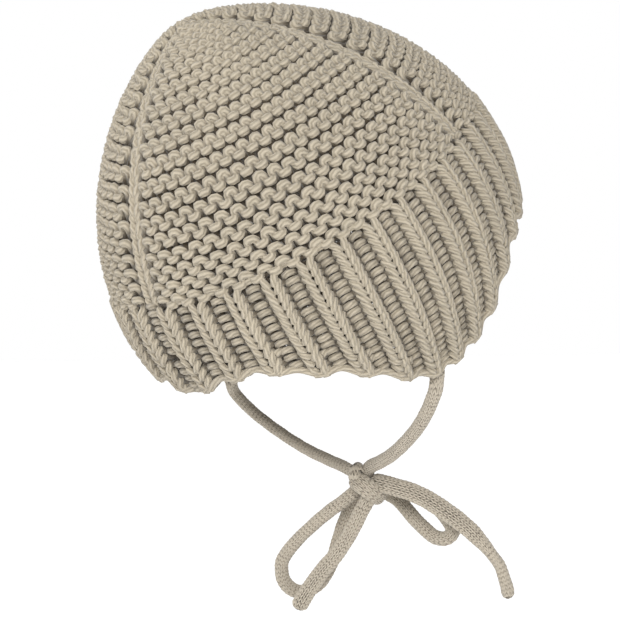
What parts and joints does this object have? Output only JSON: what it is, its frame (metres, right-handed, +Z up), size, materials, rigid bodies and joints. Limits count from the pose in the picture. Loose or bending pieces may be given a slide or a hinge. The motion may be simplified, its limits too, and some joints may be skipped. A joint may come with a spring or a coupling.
{
  "type": "baby bonnet",
  "caption": "Knitted baby bonnet with a garter-stitch crown, a deep ribbed band and two knitted cords tied in a bow.",
  "frame": {"origin": "the head seat: the highest point of the hollow, where the crown rests on the head", "axes": "+X towards the wearer's face, +Y towards the wearer's left ear, +Z up"},
  "size_m": [0.1564, 0.1508, 0.2226],
  "materials": {
    "knit": "soft matt plied cotton yarn, knitted in garter stitch and rib",
    "cord": "soft matt knitted cord, fine stitches"
  },
  "bodies": {
    "root": {"crown": "knit", "rib_band": "knit", "bow_knot": "cord", "tie_right": "cord", "tie_left": "cord", "bow_loop_right": "cord", "bow_loop_left": "cord", "tie_end_right": "cord", "tie_end_left": "cord"}
  },
  "joints": []
}
